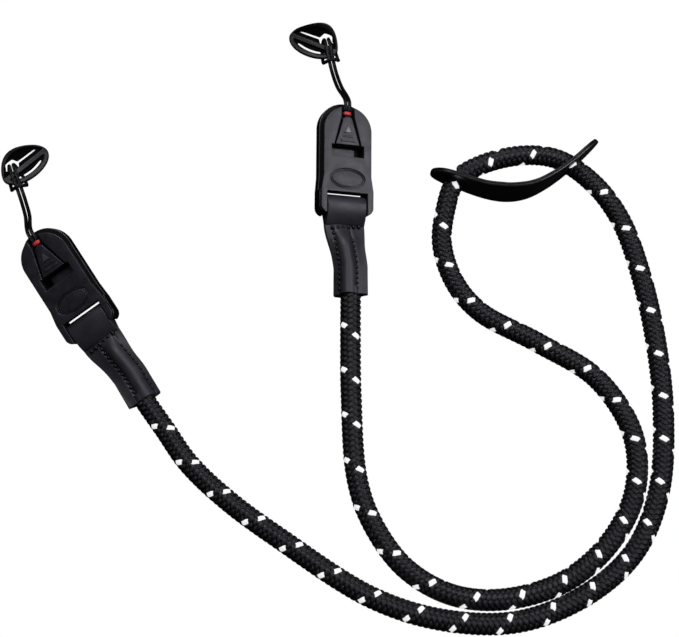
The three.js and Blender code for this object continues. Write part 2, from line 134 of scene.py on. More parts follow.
KEY_MOUTH_HALF = 2.9
KEY_NECK = 38.8
KEY_FOOT_HALF = 6.2
WEDGE_TOP_HALF = 2.2
WEDGE_FOOT_HALF = 5.45
WEDGE_TOP = 4.5
WEDGE_RELIEF = 0.4
BEAD_LENGTH = 2.0
BEAD_RADIUS = 1.8
BEAD_FLATTEN = 0.62
BEAD_POWER = 3.2
BEAD_LOW = KEY_NECK + GAP
BEAD_HEIGHT = PLATE_BACK + BEAD_RADIUS * BEAD_FLATTEN
EDGE = 0.25
OVERLAP = 0.05

# Anchor cords
CORD_DIAMETER = 1.6
CORD_SIDES = 14
CORD_YARNS = 5
STRAND_APART = 0.9
# Places of a strand from its hitch, along, aside and up, then those of the bight between the two strands
STRAND_LAY = [(-19, STRAND_APART, 12.6), (-10, STRAND_APART, 6.4), (-3, STRAND_APART, 4.3),
              (1.5, STRAND_APART, 5.2), (5.5, STRAND_APART, 6.2), (10, STRAND_APART, 5.2),
              (11.3, 1.2, 2.8), (9.8, 2, 1.04), (5, 3.1, 1.1), (1.2, 3.4, 1.2)]
BIGHT_LAY = [(-0.5, 3, 4), (-1, 0, 6.5), (-0.5, -3, 4)]

# Leather tabs. Shares are of the way from the buckle to the mouth
TAB_MOUTH_WIDTH = 14.4
TAB_TAPER_SHARE = 0.45
TAB_BORE_DEPTH = 12.0
TAB_LOOP_LENGTH = 9.0
FALL_POWER = 0.8
MOUTH_DEPTH = 3.0
SLEEVE_SWELL = (-0.08, 0.34)
SLEEVE_CREST = ROPE_DIAMETER / 2 + GAP + 0.9
SLEEVE_VALLEY = 3.2
DOME_POWER = 0.45
FLANGE_POWER = 1.3
FLANGE_EDGE = PLY - 0.05
STITCH_LINE = 3.75
SEAM_DEPTH = 0.5
SEAM_HALF = 0.6
SEAM_START = (0.06, 0.12)
# Stitches: side of the ridge, start and number of each row, and a stitch's width and height
SIDE_STITCHES = ((-1, 0.1, 12), (1, 0.24, 10))
STITCH_STEP = 0.073
STITCH_FILL = 0.74
STITCH_SIZE = (1.3, 1.0)
CROSS_STITCHES = 6
CROSS_STITCH_SHARE = 0.055
CROSS_STITCH_SIZE = (1.9, 1.5)

# Protectors. The far slot is on the side away from the buckle, and opens and closes along its length
PROTECTOR_LENGTH = 24.0
PROTECTOR_WIDTH = 13.6
PROTECTOR_THICKNESS = 1.5
PROTECTOR_LIFT = 1.4
PROTECTOR_TIP = 6.0
PROTECTOR_SLOT_LENGTH = 16.6
PROTECTOR_SLOT_WIDTH = 3.4
PROTECTOR_SLIT = 0.6
SLOT_OPENS = (1.2, 2.9)
SLOT_CLOSES = (6.6, 8.0)
PROTECTOR_SPREAD_START = 8.0
PROTECTOR_BAR = 2.5
NEAR_RIM = 2.3
FAR_RIM = 1.15
HOLLOW_FLOOR = 0.6
PROTECTOR_UNDERSIDE = 0.12
SLOT_MIDDLE = 1.9
NEAR_SLOT_MIDDLE = 3.5
NEAR_SLOT_LENGTH = 13.6
NEAR_SLOT_WIDTH = 1.0
NEAR_SLOT_BOW = 1.2
PROTECTOR_CURL = 4.2
PROTECTOR_DRAW_IN = 0.06

# Shoulder pad
PAD_LENGTH = 81.0
PAD_HEIGHT = 19.6
PAD_THICKNESS = 2.1
PAD_CORNER = 0.75
PAD_HOLE_GAP = 0.35
PAD_START = (39.8, 67.2)
# Its bow: share of its length, heading and lean to the front, in degrees
PAD_BOW = [(0.0, -15, 10), (0.1, -22, 9), (0.2, -24, 7), (0.3, -18, 6), (0.38, -9, 4), (0.48, 9, 4),
           (0.58, 28, 6), (0.7, 37, 7), (0.83, 43, 8), (1.0, 44, 8)]

# The two ends. "inner" and "mouth" are the route's points at the rope's end and at the tab's mouth, and
# "ridge" is how far the tab's ridge lies off its middle at the buckle and at the mouth
ENDS = [
    {"side": "right", "inner": 0, "mouth": 1, "bar": (1.9, 49.4, 9.6), "heading": 89.6, "tip": 11,
     "roll": 20, "mouth_roll": -10, "hitch": (-3.8, 124.1), "protector": (-11.8, 133.6), "turn": -27,
     "tip_way": -1, "ridge": (-2.0, -0.6), "spread": 7.0},
    {"side": "left", "inner": -1, "mouth": -2, "bar": (-103.5, -3.7, 9.6), "heading": 124, "tip": 11,
     "roll": -20, "mouth_roll": 10, "hitch": (-139.7, 61.5), "protector": (-137.9, 72.4), "turn": 46,
     "tip_way": 1, "ridge": (2.0, 1.0), "spread": 4.0},
]


# Shared helpers

def frame_point(point):
    """A point of the layout, in the frame and in metres."""
    return (Vector(point) + FRAME_SHIFT) * MM


FRAME_MATRIX = Matrix.Scale(MM, 4) @ Matrix.Translation(FRAME_SHIFT)


def new_object(name, data):
    piece = bpy.data.objects.new(name, data)
    bpy.context.scene.collection.objects.link(piece)
    return piece


def new_mesh(name, vertices, faces):
    mesh = bpy.data.meshes.new(name)
    mesh.from_pydata([tuple(vertex) for vertex in vertices], [], faces)
    return mesh


def paint(mesh, looks):
    """Gives each face of a mesh one of its piece's materials, by number."""
    mesh.polygons.foreach_set("material_index", [int(look) for look in looks])


def mesh_piece(name, vertices, faces, material):
    """A smooth mesh made of layout points in millimetres, placed in the frame."""
    mesh = new_mesh(name, vertices, faces)
    mesh.transform(FRAME_MATRIX)
    mesh.shade_smooth()
    mesh.materials.append(material)
    mesh.update()
    return new_object(name, mesh)


def ring_faces(first, last, count):
    """Quads between each ring and the next, from the first to the last, of rings with count points."""
    faces = []
    for ring in range(first, last):
        low, high = ring * count, (ring + 1) * count
        for i in range(count):
            after = (i + 1) % count
            faces.append((low + i, low + after, high + after, high + i))
    return faces


def closed_faces(last, count):
    """The faces of a row of rings, closed at its first ring and at its last."""
    ends = [tuple(reversed(range(count))), tuple(range(last * count, (last + 1) * count))]
    return ring_faces(0, last, count) + ends


def centripetal(points, per_span):
    """A centripetal Catmull-Rom curve through the points, as many places."""
    knots = np.array(points, float)
    knots = np.vstack([2 * knots[0] - knots[1], knots, 2 * knots[-1] - knots[-2]])
    share = np.linspace(0, 1, per_span, endpoint=False)[:, None]
    spans = []
    for a, b, c, d in zip(knots[:-3], knots[1:-2], knots[2:-1], knots[3:]):
        t0, t1, t2 = (math.sqrt(np.linalg.norm(end - start)) for start, end in ((a, b), (b, c), (c, d)))
        slope_b = ((b - a) / t0 - (c - a) / (t0 + t1) + (c - b) / t1) * t1
        slope_c = ((c - b) / t1 - (d - b) / (t1 + t2) + (d - c) / t2) * t1
        spans.append((2 * share**3 - 3 * share**2 + 1) * b + (share**3 - 2 * share**2 + share) * slope_b
                     + (3 * share**2 - 2 * share**3) * c + (share**3 - share**2) * slope_c)
    return np.vstack(spans + [knots[-2][None]])


class Line:
    """A row of places that is read by the length along it, with an upright frame at each place."""

    def __init__(self, places):
        self.places = np.array(places)
        steps = np.linalg.norm(np.diff(self.places, axis=0), axis=1)
        self.along = np.concatenate([[0], np.cumsum(steps)])
        self.length = float(self.along[-1])

    def at(self, along):
        return np.stack([np.interp(along, self.along, self.places[:, k]) for k in range(3)], axis=-1)

    def frames(self, along):
        tangent = self.at(along + 0.3) - self.at(along - 0.3)
        tangent /= np.linalg.norm(tangent, axis=-1, keepdims=True)
        up = np.array([0.0, 0.0, 1.0]) - tangent * tangent[..., 2:3]
        up /= np.linalg.norm(up, axis=-1, keepdims=True)
        return self.at(along), up, np.cross(tangent, up)


def ease(value, low, high):
    share = min(1.0, max(0.0, (value - low) / (high - low)))
    return share * share * (3 - 2 * share)


def keep(piece, slot, *nodes):
    """Ties a piece to its body and hides the solids that it replaces. Its slot is not used."""
    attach(piece, "root")
    if nodes:
        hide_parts(*nodes)


# Materials

def set_inputs(node, **values):
    """Sets constant inputs of a node. An underscore stands for the space in an input's name."""
    for socket, value in values.items():
        node.inputs[socket.replace("_", " ")].default_value = value


def new_node(tree, kind, coordinates, **values):
    """A node that reads the named coordinates, with its constant inputs."""
    place = tree.nodes.new("ShaderNodeTexCoord")
    node = tree.nodes.new(kind)
    set_inputs(node, **values)
    tree.links.new(place.outputs[coordinates], node.inputs["Vector"])
    return node


def shader_material(name, colour, roughness, specular):
    """A new material, its node tree and its shader with constant values."""
    material = bpy.data.materials.new(name)
    material.use_nodes = True
    shader = material.node_tree.nodes["Principled BSDF"]
    set_inputs(shader, Base_Color=(*colour, 1), Roughness=roughness, Specular_IOR_Level=specular)
    return material, material.node_tree, shader


def noise(tree, scale, detail, roughness=0.55):
    values = {"Scale": scale, "Detail": detail, "Roughness": roughness}
    return new_node(tree, "ShaderNodeTexNoise", "Object", **values).outputs["Fac"]


def calculated(tree, operation, *values):
    node = tree.nodes.new("ShaderNodeMath")
    node.operation = operation
    for value, socket in zip(values, node.inputs):
        tree.links.new(value, socket)
    return node.outputs["Value"]


def ramp(tree, value, low, high, stops=(0.3, 0.7)):
    node = tree.nodes.new("ShaderNodeMapRange")
    set_inputs(node, From_Min=stops[0], From_Max=stops[1], To_Min=low, To_Max=high)
    tree.links.new(value, node.inputs["Value"])
    return node.outputs["Result"]


def colours(tree, value, dark, light, stops=(0.3, 0.7)):
    node = tree.nodes.new("ShaderNodeValToRGB")
    for element, stop, colour in zip(node.color_ramp.elements, stops, (dark, light)):
        element.position = stop
        element.color = (*colour, 1)
    tree.links.new(value, node.inputs["Fac"])
    return node.outputs["Color"]


def bump(tree, shader, heights):
    """Bumps of several values, each with its height in metres and its strength, one after another."""
    normal = None
    for value, distance, strength in heights:
        node = tree.nodes.new("ShaderNodeBump")
        set_inputs(node, Distance=distance, Strength=strength)
        tree.links.new(value, node.inputs["Height"])
        if normal:
            tree.links.new(normal, node.inputs["Normal"])
        normal = node.outputs["Normal"]
    tree.links.new(normal, shader.inputs["Normal"])


def yarn_lines(tree):
    """Fine yarns that run along a strand, from the strand's own coordinates."""
    wave = new_node(tree, "ShaderNodeTexWave", "UV", Scale=2.2, Distortion=1.2, Detail=1, Detail_Scale=2)
    wave.bands_direction = "X"
    return wave.outputs["Fac"]


def crest_light_mask(tree):
    """1 along the middle of a strand and 0 at its sides, from the strand's own coordinates."""
    across = new_node(tree, "ShaderNodeSeparateXYZ", "UV").outputs["X"]
    return ramp(tree, calculated(tree, "ABSOLUTE", across), 1.0, 0.0, (0.06, 0.42))


def braid_material(name, dark, light, roughness):
    """Braided yarn with painted light: a painted shade darkens a strand's sides, and a painted highlight
    lightens its middle, in patches.
    """
    material, tree, shader = shader_material(name, light, roughness, 0.4)
    patches = ramp(tree, noise(tree, 420, 3), 0.35, 1.0)
    # The crest mask times the patches: painted highlight along the strands' middles, painted shade at their
    # sides
    patch_value = calculated(tree, "MULTIPLY", crest_light_mask(tree), patches)
    tree.links.new(colours(tree, patch_value, dark, light, (0.0, 1.0)), shader.inputs["Base Color"])
    bump(tree, shader, [(yarn_lines(tree), 0.00012, 0.55), (noise(tree, 5000, 2), 0.00004, 0.5)])
    return material


def patchy_material(name, dark, light, roughness, specular, scale, polish):
    """A material whose colour and polish change a little in patches."""
    material, tree, shader = shader_material(name, light, roughness, specular)
    patches = noise(tree, scale, 3)
    tree.links.new(colours(tree, patches, dark, light), shader.inputs["Base Color"])
    patch_value = ramp(tree, patches, roughness - polish[0], roughness + polish[1])
    tree.links.new(patch_value, shader.inputs["Roughness"])
    return material, tree, shader


def leather_material(name, dark, light, roughness, grain=0.25, specular=0.5):
    """Smooth leather with fine pores and creases."""
    material, tree, shader = patchy_material(name, dark, light, roughness, specular, 130, (0.06, 0.08))
    pores = new_node(tree, "ShaderNodeTexVoronoi", "Object", Scale=2600).outputs["Distance"]
    bump(tree, shader, [(noise(tree, 900, 4), 0.00012, grain), (pores, 0.00005, grain)])
    return material


def plastic_material(name, dark, light, roughness, grain=0.35, specular=0.5):
    """Moulded plastic with a fine spark-eroded texture."""
    material, tree, shader = patchy_material(name, dark, light, roughness, specular, 240, (0.04, 0.06))
    bump(tree, shader, [(noise(tree, 7000, 2, 0.7), 0.00004, grain)])
    return material


rope_black = braid_material("rope_black", (0.0003, 0.0003, 0.0004), (0.030, 0.029, 0.036), 0.4)
rope_tracer = braid_material("rope_tracer", (0.38, 0.38, 0.38), (0.5, 0.5, 0.5), 0.6)
# The white tracer also glows, a painted light that keeps it nearly as bright as the paper
tracer_shader = rope_tracer.node_tree.nodes["Principled BSDF"]
set_inputs(tracer_shader, Emission_Color=(1, 1, 1, 1), Emission_Strength=0.75)
cord_black = braid_material("cord_black", (0.004, 0.004, 0.005), (0.035, 0.035, 0.039), 0.36)
thread_black = braid_material("thread_black", (0.0005, 0.0005, 0.0006), (0.0025, 0.0025, 0.003), 0.45)
pad_leather = leather_material("pad_leather", (0.010, 0.010, 0.011), (0.025, 0.025, 0.028), 0.34, grain=0.4)
pad_edge = leather_material("pad_edge", (0.0005, 0.0005, 0.0006), (0.0015, 0.0015, 0.0018), 0.5,
                            specular=0.12)
tab_leather = leather_material("tab_leather", (0.014, 0.014, 0.019), (0.025, 0.025, 0.033), 0.48)
ply_edge = leather_material("ply_edge", (0.03, 0.03, 0.034), (0.09, 0.09, 0.10), 0.6, grain=0.5)
protector_leather = leather_material("protector_leather", (0.001, 0.001, 0.0013), (0.003, 0.003, 0.0036),
                                     0.38, specular=0.2)
# Near black leather of the protectors' lower layer: a painted shade where it shows in the hollows and slots
hollow_shade_leather = leather_material("hollow_shade_leather", (0.0002, 0.0002, 0.0003), (0.001, 0.001, 0.0013), 0.6,
                                  specular=0.04)
plate_plastic = plastic_material("plate_plastic", (0.006, 0.006, 0.010), (0.014, 0.0135, 0.021), 0.44,
                                 grain=0.5)
# Lighter plastic, a painted highlight on the buckles' front bevels; the wedge's raised arrow is all of it
edge_plastic = plastic_material("edge_plastic", (0.035, 0.035, 0.04), (0.06, 0.06, 0.068), 0.32, grain=0.1)
core_plastic = plastic_material("core_plastic", (0.001, 0.001, 0.0012), (0.003, 0.003, 0.0035), 0.55,
                                specular=0.15)
bead_red = plastic_material("bead_red", (0.50, 0.025, 0.025), (0.66, 0.05, 0.045), 0.4, grain=0.15)


# Camera, light and floor

def make_camera():
    camera = new_object("camera", bpy.data.cameras.new("camera"))
    elevation = math.radians(CAMERA_ELEVATION)
    back = Vector((0, -math.cos(elevation), math.sin(elevation)))
    camera.location = frame_point(CAMERA_TARGET + CAMERA_DISTANCE * back)
    camera.rotation_euler = (math.pi / 2 - elevation, 0, 0)
    camera.data.lens = CAMERA_LENS
    camera.data.clip_start = 0.05
    bpy.context.scene.camera = camera


def make_area_light(name, place, size, power):
    light = bpy.data.lights.new(name, "AREA")
    light.shape = "RECTANGLE"
    light.size, light.size_y = size
    light.energy = power
    light.color = LIGHT_COLOUR
    lamp = new_object(name, light)
    lamp.location = Vector(place)
    lamp.rotation_euler = (-Vector(place)).to_track_quat("-Z", "Y").to_euler()


def make_stage():
    corners = [(x * FLOOR_REACH, y * FLOOR_REACH, 0) for x, y in ((-1, -1), (1, -1), (1, 1), (-1, 1))]
    stage = new_object("floor", new_mesh("floor", corners, [(0, 1, 2, 3)]))
    white, _, shader = shader_material("floor", (0, 0, 0), 1.0, 0.0)
    set_inputs(shader, Emission_Color=(1, 1, 1, 1), Emission_Strength=1.0)
    stage.data.materials.append(white)
    # The photograph's ground is plain white paper that takes no shadow and doesn't light the strap
    stage.visible_diffuse = False
    stage.visible_glossy = False
    world = bpy.data.worlds.new("studio")
    world.use_nodes = True
    sky = world.node_tree
    set_inputs(sky.nodes["Background"], Color=(1, 1, 1, 1))
    height = new_node(sky, "ShaderNodeSeparateXYZ", "Generated").outputs["Z"]
    strength = ramp(sky, height, SKY_LIGHT_LOW, SKY_LIGHT, SKY_HEIGHTS)
    sky.links.new(strength, sky.nodes["Background"].inputs["Strength"])
    bpy.context.scene.world = world
    for light in LIGHTS:
        make_area_light(*light)
    bpy.context.scene.view_settings.view_transform = "Standard"


make_camera()
make_stage()


# Rope: a braid whose floats are raised tiles, two crossings long

def top_strands(u, v):
    """The cells at strand coordinates u and v, where a left strand is on top, and its float's middle."""
    cell_u = np.floor(u + 0.5)
    cell_v = np.floor(v + 0.5)
    phase = np.mod(cell_u + cell_v, 4)
    return cell_u, cell_v, phase < 2, np.where(np.mod(phase, 2) == 0, 0.5, -0.5)


def rise(place, powers):
    return np.clip(1 - np.abs(place) ** powers[0], 0, 1) ** powers[1]


def float_height(u, v):
    """How high the braid stands at strand coordinates u and v: 0 in the grooves, 1 on a float's back."""
    height = np.ones(u.shape)
    # A point between cells takes the lowest of their heights
    for aside_u in (-1e-3, 1e-3):
        for aside_v in (-1e-3, 1e-3):
            cell_u, cell_v, left, middle = top_strands(u + aside_u, v + aside_v)
            across = np.where(left, u - cell_u, v - cell_v) * 2
            along = np.where(left, v - cell_v, u - cell_u) - middle
            height = np.minimum(height, rise(across, FLOAT_ACROSS) * rise(along, FLOAT_ALONG))
    return height


def sharpen_floats(mesh, float_ids):
    """Marks the edges between two floats as sharp. The faces after the floats' are the rope's ends."""
    loop_edges = np.zeros(len(mesh.loops), dtype=np.int32)
    mesh.loops.foreach_get("edge_index", loop_edges)
    ids = np.full(len(mesh.loops), -1.0)
    ids[:len(float_ids) * 4] = np.repeat(float_ids, 4)
    lowest = np.full(len(mesh.edges), np.inf)
    highest = np.full(len(mesh.edges), -np.inf)
    np.minimum.at(lowest, loop_edges, ids)
    np.maximum.at(highest, loop_edges, ids)
    sharp = mesh.attributes.new("sharp_edge", "BOOLEAN", "EDGE")
    sharp.data.foreach_set("value", lowest != highest)


def make_rope():
    line = Line(centripetal(ROPE_ROUTE, 40))
    around = BRAID_STRANDS * CELL_STEPS // 2
    steps_per_turn = 2 * around
    places_at, turns_at = zip(*BRAID_TURNS)
    first, last = np.interp((ROPE_SKIP, line.length - ROPE_SKIP), places_at, turns_at)
    rows = np.arange(math.ceil(first * steps_per_turn), math.floor(last * steps_per_turn) + 1)
    column = np.arange(around)[None, :] * 2 + np.mod(rows, 2)[:, None]
    # The floats lean further round the rope than their strands do on the whole
    lean = BRAID_SHEAR * (np.abs(np.mod(column / 4 - 1.5, 4) - 2) - 1)
    # The tracer is strand 0, and the middle of its first float lies half a crossing along it
    half_crossing = 0.25 / BRAID_STRANDS
    turns = (rows[:, None] + 4 * lean) / steps_per_turn + half_crossing
    along = np.interp(turns, turns_at, places_at)
    tilt = np.radians(np.interp(along, *zip(*BRAID_ANGLES)))
    angle = column * (2 * math.pi / steps_per_turn) + tilt - 2 * math.pi * half_crossing
    height = float_height((rows[:, None] + column) / CELL_STEPS, (column - rows[:, None]) / CELL_STEPS)
    radius = ROPE_DIAMETER / 2 + BRAID_PROUD - BRAID_DEPTH * (1 - height)
    from_end = np.minimum(along, line.length - along)
    radius -= ROPE_SQUEEZE * np.clip((TAB_BORE_DEPTH - from_end) / ROPE_SQUEEZE, 0, 1)
    centre, up, side = line.frames(along)
    places = centre + radius[..., None] * (np.cos(angle)[..., None] * up + np.sin(angle)[..., None] * side)

    faces = []
    for r in range(len(rows) - 2):
        odd = int(rows[r] % 2)
        for i in range(around):
            right = (r + 1) * around + (i + odd) % around
            left = (r + 1) * around + (i + odd - 1) % around
            faces.append((r * around + i, right, (r + 2) * around + i, left))
    row_of = np.repeat(rows[:-2], around)
    column_of = column[:-2].reshape(-1)
    middle_u = (row_of + 1 + column_of) / CELL_STEPS
    middle_v = (column_of - row_of - 1) / CELL_STEPS
    cell_u, cell_v, left_way, middle = top_strands(middle_u, middle_v)
    # A number for each float, from its strand and its place along it
    strand = np.where(left_way, cell_u, cell_v)
    float_middle = np.where(left_way, cell_v, cell_u) + middle
    float_ids = strand * 100000 + float_middle * 4 + np.where(left_way, 0, 1)
    is_tracer = left_way & (np.mod(cell_u, BRAID_STRANDS) == 0) & (row_of > TRACER_START * steps_per_turn)

    # Each corner's place across and along its own strand, for the yarns
    corner_u = middle_u[:, None] + np.array([[-1, 1, 1, -1]]) / CELL_STEPS
    corner_v = middle_v[:, None] + np.array([[1, 1, -1, -1]]) / CELL_STEPS
    across = np.where(left_way[:, None], corner_u - cell_u[:, None], corner_v - cell_v[:, None])
    lengthwise = np.where(left_way[:, None], corner_v, corner_u)

    # Each end: triangles between its last two rows of points, and a face in the middle
    caps = []
    for outer, inner in ((0, 1), (len(rows) - 1, len(rows) - 2)):
        odd = int(rows[outer] % 2)
        way = 1 if outer == 0 else -1
        for i in range(around):
            after = (i + 1) % around
            between = inner * around + (i + odd) % around
            caps.append((outer * around + i, outer * around + after, between)[::way])
        caps.append(tuple(range(outer * around, (outer + 1) * around))[::-way])
    mesh = new_mesh("rope_braid", places.reshape(-1, 3), faces + caps)
    mesh.transform(FRAME_MATRIX)
    mesh.materials.append(rope_black)
    mesh.materials.append(rope_tracer)
    paint(mesh, [*is_tracer] + [0] * len(caps))
    mesh.shade_smooth()
    coordinates = np.zeros((len(mesh.loops), 2), dtype=np.float32)
    coordinates[:len(faces) * 4] = np.stack([across.reshape(-1), lengthwise.reshape(-1)], axis=1)
    mesh.uv_layers.new(name="strand").data.foreach_set("uv", coordinates.reshape(-1))
    sharpen_floats(mesh, float_ids)
    mesh.update()
    rope = new_object("rope_braid", mesh)
    keep(rope, "rope_braid", "rope")


make_rope()


# Anchor cords

def buckle_matrix(end):
    """The frame of a buckle: across, along and out of its face."""
    heading, tip, roll = (math.radians(end[key]) for key in ("heading", "tip", "roll"))
    along = Vector((math.cos(heading) * math.cos(tip), math.sin(heading) * math.cos(tip), math.sin(tip)))
    level = Vector((math.sin(heading), -math.cos(heading), 0))
    up = level.cross(along)
    out = up * math.cos(roll) + level * math.sin(roll)
    across = along.cross(out)
    matrix = Matrix((across, along, out)).transposed().to_4x4()
    matrix.translation = Vector(end["bar"])
    return matrix


def anchor_route(end):
    """The cord's way from the bead through the protector and back, as in the part's source."""
    matrix = buckle_matrix(end)

    def from_buckle(x, y):
        return matrix @ Vector((x, y, BEAD_HEIGHT))

    leave = BEAD_LOW + BEAD_LENGTH + GAP
    start = from_buckle(0, leave)
    away = Vector((end["hitch"][0] - start.x, end["hitch"][1] - start.y, 0)).normalized()
    aside = Vector((away.y, -away.x, 0))

    def from_hitch(along, across, height):
        return Vector((*end["hitch"], height)) + away * along + aside * across

    def strand(way):
        apart = way * STRAND_APART
        laid = [from_hitch(along, way * across, height) for along, across, height in STRAND_LAY]
        return [from_buckle(apart, leave), from_buckle(apart, leave + 4)] + laid

    return strand(1) + [from_hitch(*place) for place in BIGHT_LAY] + strand(-1)[::-1]


def tube_rings(line, radius, sides, step):
    """Points and faces of a tube whose rings turn as little as they can, and the rings' places."""
    along = np.linspace(0, line.length, int(line.length / step))
    centre = line.at(along)
    tangent = np.gradient(centre, axis=0)
    tangent /= np.linalg.norm(tangent, axis=1, keepdims=True)
    normal = np.cross(tangent[0], [0.3, 0.2, 1.0])
    angles = np.arange(sides) * 2 * math.pi / sides
    rings = []
    for place, way in zip(centre, tangent):
        normal = normal - way * normal.dot(way)
        normal /= np.linalg.norm(normal)
        other = np.cross(way, normal)
        rings.append(place + radius * (np.outer(np.cos(angles), normal) + np.outer(np.sin(angles), other)))
    return np.vstack(rings), closed_faces(len(rings) - 1, sides), along


def make_anchor_cord(end):
    line = Line(centripetal(anchor_route(end), 16))
    vertices, faces, along = tube_rings(line, CORD_DIAMETER / 2, CORD_SIDES, 0.4)
    piece = mesh_piece(f"{end['side']}_cord", vertices, faces, cord_black)
    layer = piece.data.uv_layers.new(name="strand")
    for face in piece.data.polygons:
        for corner, loop in zip(face.vertices, face.loop_indices):
            ring, side = divmod(corner, CORD_SIDES)
            layer.data[loop].uv = (side / CORD_SIDES * CORD_YARNS, along[ring])
    keep(piece, "anchor_cord", f"{end['side']}_anchor_cord")


for end in ENDS:
    make_anchor_cord(end)


# Buckles

def arc(x, y, radius, start, end, steps):
    """Points along an arc, with its angles in degrees."""
    angles = np.radians(np.linspace(start, end, steps + 1))
    return [(x + radius * math.cos(a), y + radius * math.sin(a)) for a in angles]


def slab(name, loops, low, high, edge, matrix, painted_edge_highlight=False):
    """A flat shape with rounded edges between two heights. Later loops are holes, and for a painted edge
    highlight the slanted faces of the front edge take the piece's second, lighter material."""
    curve = bpy.data.curves.new(name, "CURVE")
    curve.dimensions = "2D"
    curve.fill_mode = "BOTH"
    for loop in loops:
        spline = curve.splines.new("POLY")
        spline.points.add(len(loop) - 1)
        for point, (x, y) in zip(spline.points, loop):
            point.co = (x, y, 0, 1)
        spline.use_cyclic_u = True
    curve.extrude = (high - low) / 2 - edge
    curve.bevel_depth = edge
    curve.bevel_resolution = 3
    curve.offset = -edge
    shape = new_object(name, curve)
    mesh = bpy.data.meshes.new_from_object(shape.evaluated_get(bpy.context.evaluated_depsgraph_get()))
    bpy.data.objects.remove(shape)
    # A painted highlight: the front bevel faces take the lighter second material
    if painted_edge_highlight:
        paint(mesh, [0.25 < abs(face.normal.z) < 0.96 and face.center.z > 0 for face in mesh.polygons])
    mesh.transform(matrix @ Matrix.Translation((0, 0, (low + high) / 2)))
    return mesh


def join_meshes(name, meshes, materials, smooth_angle=35.0):
    """One piece of several meshes that are in layout millimetres, smooth up to an angle."""
    whole = bmesh.new()
    for mesh in meshes:
        whole.from_mesh(mesh)
    bmesh.ops.remove_doubles(whole, verts=whole.verts, dist=0.0005)
    bmesh.ops.recalc_face_normals(whole, faces=whole.faces)
    joined = bpy.data.meshes.new(name)
    whole.to_mesh(joined)
    whole.free()
    joined.transform(FRAME_MATRIX)
    joined.shade_smooth()
    joined.set_sharp_from_angle(angle=math.radians(smooth_angle))
    for material in materials:
        joined.materials.append(material)
    return new_object(name, joined)


def cheek_arc(side, bottom):
    """The cheek's round lower corner, from its outer side to the strap's notch."""
    centre = side - CHEEK_CORNER
    last = -math.degrees(math.acos((NOTCH_HALF - centre) / CHEEK_CORNER))
    return arc(centre, bottom + CHEEK_CORNER, CHEEK_CORNER, 0, last, 8)


def mirrored(points):
    return [(-x, y) for x, y in reversed(points)]


def notched_outline(half, top, inset):
    """The buckle's outline, with the notch for the strap between its cheeks."""
    side = CHEEK_HALF - inset
    right = [(NOTCH_HALF, SLOT_TOP)] + cheek_arc(side, inset - CHEEK_END)[::-1]
    right += [(side, FLARE_BOTTOM), (half, FLARE_TOP)] + arc(0, top - half, half, 0, 90, 16)
    return right[:-1] + [(0, top)] + mirrored(right[:-1])


def ellipse(x, y, half_length, half_width, steps=56):
    angles = np.linspace(0, 2 * math.pi, steps, endpoint=False)
    return [(x + half_length * math.cos(a), y + half_width * math.sin(a)) for a in angles]


def rectangle(left, right, low, high):
    return [(left, low), (right, low), (right, high), (left, high)]


def make_housing(end, matrix):
    side = end["side"]
    # The window's pad leaves a wide gap on one side and a narrow one on the other
    window = rectangle(-WINDOW_HALF, WINDOW_HALF, WINDOW_BOTTOM, WINDOW_TOP)
    pad = rectangle(PAD_NARROW_GAP - WINDOW_HALF, WINDOW_HALF - PAD_WIDE_GAP,
                    WINDOW_BOTTOM + PAD_FOOT_GAP, WINDOW_TOP - PAD_TOP_GAP)
    pad = pad if end["tip_way"] < 0 else mirrored(pad)
    pocket_floor = CORE_TOP - WINDOW_DEPTH
    cheek = [(NOTCH_HALF, FLARE_BOTTOM), (CHEEK_HALF, FLARE_BOTTOM)] + cheek_arc(CHEEK_HALF, -CHEEK_END)
    core = notched_outline(BACK_HALF - CORE_INSET, PLATE_TOP, CORE_INSET)
    back = notched_outline(BACK_HALF, PLATE_TOP + BACK_OVERSHOOT, 0)
    bar = ellipse(0, 0, BAR_HALF_THICKNESS, BAR_RADIUS, 32)
    bar_matrix = matrix @ Matrix.Rotation(math.pi / 2, 4, "Y")
    window_pad = slab("pad", [pad], pocket_floor, CORE_TOP - 0.7, 0.15, matrix)
    paint(window_pad, [2] * len(window_pad.polygons))
    parts = [
        slab("back", [back], -FACE, BACK_TOP, 0.45, matrix, True),
        slab("core", [core], BACK_TOP - GAP, pocket_floor + OVERLAP, 0.05, matrix),
        slab("core_top", [core, window], pocket_floor, CORE_TOP, 0.12, matrix),
        window_pad,
        slab("cheek", [cheek], -FACE, CORE_TOP, 0.3, matrix, True),
        slab("cheek", [mirrored(cheek)], -FACE, CORE_TOP, 0.3, matrix, True),
        slab("bar", [bar], -NOTCH_HALF - 0.5, NOTCH_HALF + 0.5, 0.1, bar_matrix),
    ]
    looks = (core_plastic, edge_plastic, plate_plastic)
    keep(join_meshes(f"{side}_housing", parts, looks), "buckle_core", f"{side}_clip_housing")


